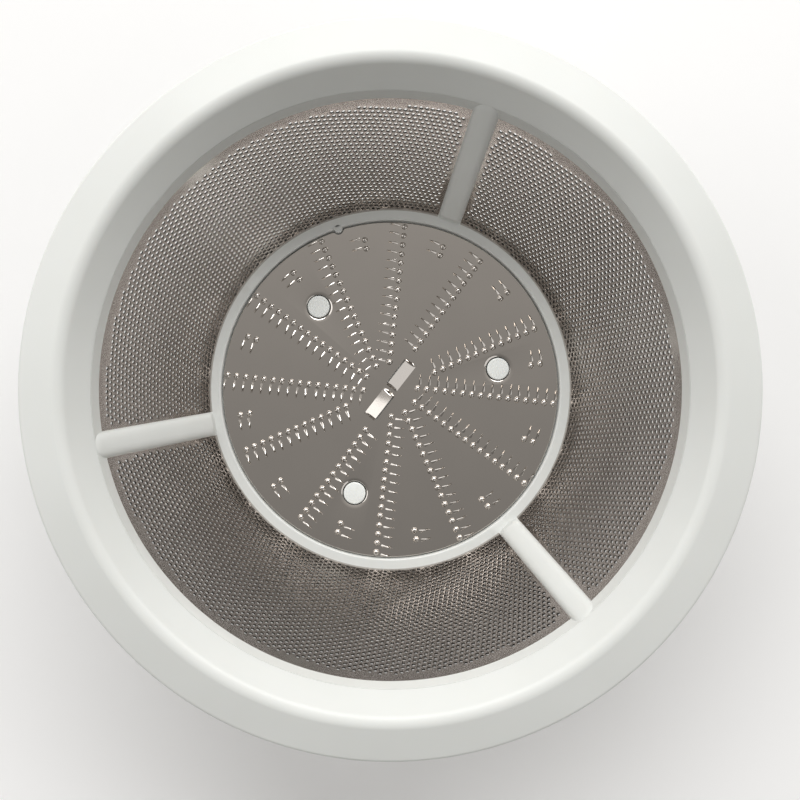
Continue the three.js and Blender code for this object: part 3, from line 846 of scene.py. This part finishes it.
def louvre(angle):
    """A tongue of sheet. It slopes evenly across, from the plate to the open lip, with short curved
    flanks at its two ends. The underside is the same surface, lower by the sheet."""
    along = np.linspace(0, 1, 49)[:, None]
    across = np.linspace(0, 1, 13)[None, :]
    ends = smooth_rise(along * louvre_flanks) * smooth_rise((1 - along) * louvre_flanks)
    height = louvre_height * across * ends
    x = louvre_start + along * louvre_length + 0 * across
    y = (across - 0.5) * louvre_width + 0 * along
    top = np.stack([x, y, disc_top + height], -1)
    underside = np.stack([x, y, disc_top + height - louvre_sheet], -1)
    rows, columns = height.shape
    points = np.concatenate([top.reshape(-1, 3), underside.reshape(-1, 3)])
    top_faces = grid_faces(rows, columns, False, False)
    rim = np.concatenate([
        np.arange(columns),
        np.arange(1, rows) * columns + columns - 1,
        (rows - 1) * columns + np.arange(columns - 2, -1, -1),
        np.arange(rows - 2, 0, -1) * columns,
    ])
    following = np.roll(rim, -1)
    below = rows * columns
    sides = np.stack([rim, rim + below, following + below, following], -1)
    return about_axis((points, [top_faces, top_faces[:, ::-1] + below, sides]), angle)


notch_radius = key_side + gap
plate_sides = 900  # enough for the notch to look round
plate_outline = rounded(
    [
        (0, disc_low[2]),
        (disc_radius, disc_low[2]),
        (disc_radius, disc_top),
        (0, disc_top),
    ],
    np.array([0, 0.15, 0.25, 0]) * mm + least_radius,
    closed=False,
)


def notched_plate():
    """The plate's outline turned about Z, but nowhere further out than a circle round the cage's key
    leaves free: at an angle a from the key's direction that is R cos a - sqrt(n^2 - (R sin a)^2), for a
    notch of radius n."""
    points, faces = turned(plate_outline, plate_sides, closed=False)
    radius = np.hypot(points[:, 0], points[:, 1])
    off = np.arctan2(points[:, 1], points[:, 0]) - key_angle
    beside = ring_inner * np.sin(off)
    reach = np.sqrt(np.clip(notch_radius**2 - beside**2, 0, None))
    near = (np.abs(beside) < notch_radius) & (np.cos(off) > 0)
    limit = np.where(near, ring_inner * np.cos(off) - reach, disc_radius)
    shrink = np.minimum(1, limit / np.maximum(radius, disc_radius / 2))
    return points * np.stack([shrink, shrink, np.ones_like(shrink)], -1), faces


sink_width, sink_depth = 0.9 * mm, 0.35 * mm  # of the countersink pressed round each rivet
sink_over = 0.4 * mm  # how far its cutter's slope runs on above the plate
drill = np.array([
    (0, disc_low[2] - mm),
    (hole_radius, disc_low[2] - mm),
    (hole_radius, disc_top - sink_depth),
    (hole_radius + sink_width * (1 + sink_over / sink_depth), disc_top + sink_over),
    (0, disc_top + sink_over),
])
slot_half, slot_margin = 0.18 * mm, 0.5 * mm  # of the slot below each louvre's lip
slot_middle = louvre_width / 2 + slot_half
slot_section = np.array([(-slot_half, -mm), (slot_half, -mm), (slot_half, mm), (-slot_half, mm)])
slot_section += (slot_middle, disc_top)
slot_span = louvre_start + slot_margin, louvre_start + louvre_length - slot_margin
slot_ends = np.array([(x, 0, 0) for x in slot_span])
slot_box = swept(slot_section, slot_ends, np.array([0, 1.0, 0]), np.array([0, 0, 1.0]))
cutters = [turned(drill, small_sides, place, closed=False) for place in rivet_places]
cutters += [about_axis(slot_box, louvre_angle + side * turn / 2) for side in (0, 1)]

disc_tints = (0.66, 0.62, 0.58), (0.61, 0.575, 0.54)
disc_steel = bright_steel(
    "polished_steel", *disc_tints, roughness=0.05, scratches=0.35, strength=0.03, scale=260,
)
disc_shells = [cut_out(notched_plate(), cutters), punched(bead(), 3), punched(claw(), 7)]
disc_shells += [louvre(louvre_angle + side * turn / 2) for side in (0, 1)]
piece("grating_disc_steel", disc_shells, disc_steel, ["grating_disc"], sharp=40)


# ---- Rivets ------------------------------------------------------------------------------------------
# Three white plastic rivets through disc, floor and hub. Each stands in a countersink of the disc,
# nearly flush with it, and its head is under the hub's flange.

shoulder = hub_flange_bottom - gap
head_radius = 4.4 * mm
head_chamfer = 0.5 * mm
rivet_outline = rounded(
    [
        (0, rivet_low[2]),
        (head_radius - head_chamfer, rivet_low[2]),
        (head_radius, shoulder - head_chamfer),
        (head_radius, shoulder),
        (rivet_radius, shoulder),
        (rivet_radius, rivet_high[2]),
        (0, rivet_high[2]),
    ],
    np.array([0, 0.4, 0.3, 0.1, 0.1, 0.3, 0]) * mm + least_radius,
    closed=False,
)
rivet_tints = (0.9, 0.92, 0.9), (0.85, 0.87, 0.84)
rivet_plastic = plastic("rivet_abs", *rivet_tints, roughness=0.3, worn=0.8)
for number, place in enumerate(rivet_places):
    node = f"disc_rivet_{number + 1}"
    shell = turned(rivet_outline, small_sides, place, closed=False)
    piece(f"rivet_{number + 1}", [shell], rivet_plastic, [node])


# ---- Drive coupling ----------------------------------------------------------------------------------
# The cup that the motor turns: glass-filled nylon, dark grey, with six splines cut outwards from its
# socket and a flange that three screws hold to the hub's boss.

socket_radius = 6.5 * mm
socket_reach = 0.31 * mm  # how far from its wall the outline's points still move with the splines
spline_count = 6
spline_depth = 1.1 * mm
spline_half = 1.3 * mm
spline_step = 0.2 * mm  # width of the step at a spline's side
coupling_flange_top = coupling_low[2] + 2.5 * mm
socket_top = coupling_high[2] - 1.2 * mm
cup_body = pocket_radius - gap


def splined_cup():
    """An outline of (r, z) turned about Z, except that the socket's points stand further out wherever
    they are within half a spline's width of one of six directions, by a steep but smooth step."""
    outline = rounded(
        [
            (0, coupling_high[2]),
            (cup_body, coupling_high[2]),
            (cup_body, coupling_flange_top),
            (coupling_high[0], coupling_flange_top),
            (coupling_high[0], coupling_low[2]),
            (socket_radius, coupling_low[2]),
            (socket_radius, socket_top),
            (0, socket_top),
        ],
        np.array([0, 0.5, 0.2, 0.4, 0.5, 0.25, 0.3, 0]) * mm + least_radius,
        closed=False,
    )
    sides = 360
    angle = (turn * np.arange(sides) / sides)[:, None]
    apart = turn / spline_count
    off = np.abs((angle + apart / 2) % apart - apart / 2) * socket_radius
    spline = smooth_rise((spline_half + spline_step / 2 - off) / spline_step)
    in_socket = (np.abs(outline[:, 0] - socket_radius) < socket_reach)[None, :]
    radius = outline[None, :, 0] + spline_depth * spline * in_socket
    height = np.broadcast_to(outline[None, :, 1], radius.shape)
    points = np.stack([radius * np.cos(angle), radius * np.sin(angle), height], -1).reshape(-1, 3)
    return points, [grid_faces(sides, len(outline), True, False)]


grey = (0.115, 0.12, 0.125), (0.085, 0.09, 0.095)
nylon = plastic("grey_nylon", *grey, 0.5, grain=3200, depth=0.00004, worn=1.0, grime=(0.05, 0.045, 0.04))
piece("drive_coupling_moulding", [splined_cup()], nylon, ["drive_coupling"])


# ---- Coupling screws ---------------------------------------------------------------------------------
# Three plated steel pan-head screws, driven upwards through the coupling's flange into the hub's boss.
# Each has a cross recess in its head and a thread that runs out at its tip.

screw_low, screw_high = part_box("coupling_screw_1")
screw_circle = cup_body + 3.8 * mm
screw_places = screw_circle * np.stack([np.cos(rib_angles), np.sin(rib_angles)], -1)
screw_head = 2.6 * mm
screw_radius = 1.4 * mm
dome_height = 0.55 * mm
recess_depth = 0.8 * mm
recess_half, recess_slope = 0.42 * mm, 0.1 * mm  # an arm's half width, and its side's slope
recess_reach, recess_end = 1.35 * mm, 0.12 * mm  # an arm's length, and its end's slope
thread_pitch, thread_depth = 1.1 * mm, 0.35 * mm
tip_length = 1.6 * mm


def pan_head(place):
    """A dome whose height falls as the cube of the radius, with a cross sunk in it: the recess is deep
    where either |x| or |y| is under the arm's half width, and the radius is under the arm's reach."""
    sides, rings = 96, 26
    angle = (turn * np.arange(sides) / sides)[:, None]
    share = np.linspace(0, 1, rings)[None, :]
    radius = screw_head * share
    x, y = radius * np.cos(angle), radius * np.sin(angle)
    arm = np.minimum(np.abs(x), np.abs(y))
    recess = smooth_rise((recess_half - arm) / recess_slope)
    recess = recess * smooth_rise((recess_reach - radius) / recess_end)
    z = screw_low[2] + dome_height * share**3 + recess_depth * recess
    neck = coupling_low[2] - gap
    top = np.full((sides, 1), neck)
    x = np.hstack([x, screw_head * np.cos(angle), screw_radius * np.cos(angle), 0 * angle])
    y = np.hstack([y, screw_head * np.sin(angle), screw_radius * np.sin(angle), 0 * angle])
    z = np.hstack([z, top, top, top])
    points = np.stack([x + place[0], y + place[1], z], -1).reshape(-1, 3)
    return points, [grid_faces(sides, rings + 3, True, False)]


def thread(place):
    """A shank whose radius swings in and out along a helix: a triangle wave of the height plus the
    angle over a turn, in thread pitches, that fades to a point at the tip."""
    sides, rings = 24, 56
    angle = (turn * np.arange(sides) / sides)[:, None]
    height = np.linspace(coupling_low[2] - 0.4 * mm, screw_high[2], rings)[None, :]
    phase = (height / thread_pitch + angle / turn) % 1
    ridge = 1 - 2 * np.abs(phase - 0.5)
    tip = np.clip((screw_high[2] - height) / tip_length, 0, 1)
    radius = (screw_radius - thread_depth + thread_depth * ridge) * tip**0.7
    x, y = place[0] + radius * np.cos(angle), place[1] + radius * np.sin(angle)
    points = np.stack([x, y, height + 0 * angle], -1)
    base = np.arange(sides)[None, ::-1] * rings
    return points.reshape(-1, 3), [grid_faces(sides, rings, True, False), base]


screw_steel = bright_steel("screw_steel", (0.58, 0.57, 0.55), (0.47, 0.46, 0.45), 0.3, 0.5, 0.1)
for number, place in enumerate(screw_places):
    node = f"coupling_screw_{number + 1}"
    piece(f"screw_{number + 1}", [pan_head(place), thread(place)], screw_steel, [node])


# ---- Stage -------------------------------------------------------------------------------------------
# A pale floor, a wide soft light behind the basket, a weaker card on either side, a dim warm sky that
# is brighter behind, and a camera straight above.

floor_mesh = bpy.data.meshes.new("floor")
far = 3.0
floor_corners = [(-far, -far, 0), (far, -far, 0), (far, far, 0), (-far, far, 0)]
floor_mesh.from_pydata(floor_corners, [], [(0, 1, 2, 3)])
floor = bpy.data.objects.new("floor", floor_mesh)
bpy.context.scene.collection.objects.link(floor)
floor_paint = bpy.data.materials.new("pale_floor")
floor_paint.use_nodes = True
paint_shader = floor_paint.node_tree.nodes["Principled BSDF"]
paint_shader.inputs["Base Color"].default_value = (0.96, 0.96, 0.96, 1)
paint_shader.inputs["Roughness"].default_value = 0.9
floor_mesh.materials.append(floor_paint)

world = bpy.data.worlds.new("studio")
bpy.context.scene.world = world
world.use_nodes = True
sky = world.node_tree.nodes["Background"]
sky.inputs["Color"].default_value = (0.93, 0.9, 0.86, 1)
node, link = world.node_tree.nodes.new, world.node_tree.links.new
direction = node("ShaderNodeTexCoord")
split = node("ShaderNodeSeparateXYZ")
raised = node("ShaderNodeMath")  # a number to the power of the direction's Y
raised.operation = "POWER"
raised.inputs[0].default_value = 2.6
strength = node("ShaderNodeMath")
strength.operation = "MULTIPLY"
strength.inputs[1].default_value = 0.36
link(direction.outputs["Generated"], split.inputs["Vector"])
link(split.outputs["Y"], raised.inputs[1])
link(raised.outputs["Value"], strength.inputs[0])
link(strength.outputs["Value"], sky.inputs["Strength"])


def soft_light(name, place, target, size, power):
    """An area light at a place, turned to face a target."""
    data = bpy.data.lights.new(name, "AREA")
    data.shape = "RECTANGLE"
    data.size, data.size_y = size
    data.energy = power
    light = bpy.data.objects.new(name, data)
    bpy.context.scene.collection.objects.link(light)
    light.location = place
    toward = np.array(target) - np.array(place)
    tilt = math.atan2(math.hypot(*toward[:2]), -toward[2])
    light.rotation_euler = (tilt, 0, math.atan2(-toward[0], toward[1]))


basket_middle = (0, 0, 0.03)
soft_light("window", (0.12, 1.12, 1.08), basket_middle, (2.0, 0.5), 19.5)
soft_light("left_card", (-1.07, 0.16, 0.87), basket_middle, (1.0, 1.0), 3.8)
soft_light("right_card", (0.8, -0.65, 1.0), basket_middle, (1.0, 1.0), 2.2)

camera_data = bpy.data.cameras.new("camera")
camera = bpy.data.objects.new("camera", camera_data)
bpy.context.scene.collection.objects.link(camera)
camera_distance = 218.5 * mm  # above the cage's ring
camera.location = (0, 0, ring_top + camera_distance)
camera_data.lens = 38.7
camera_data.sensor_width = 36
camera_data.shift_x = 0.012
camera_data.shift_y = -0.013
camera_data.clip_start = 0.01
bpy.context.scene.camera = camera
bpy.context.scene.view_settings.view_transform = "Standard"
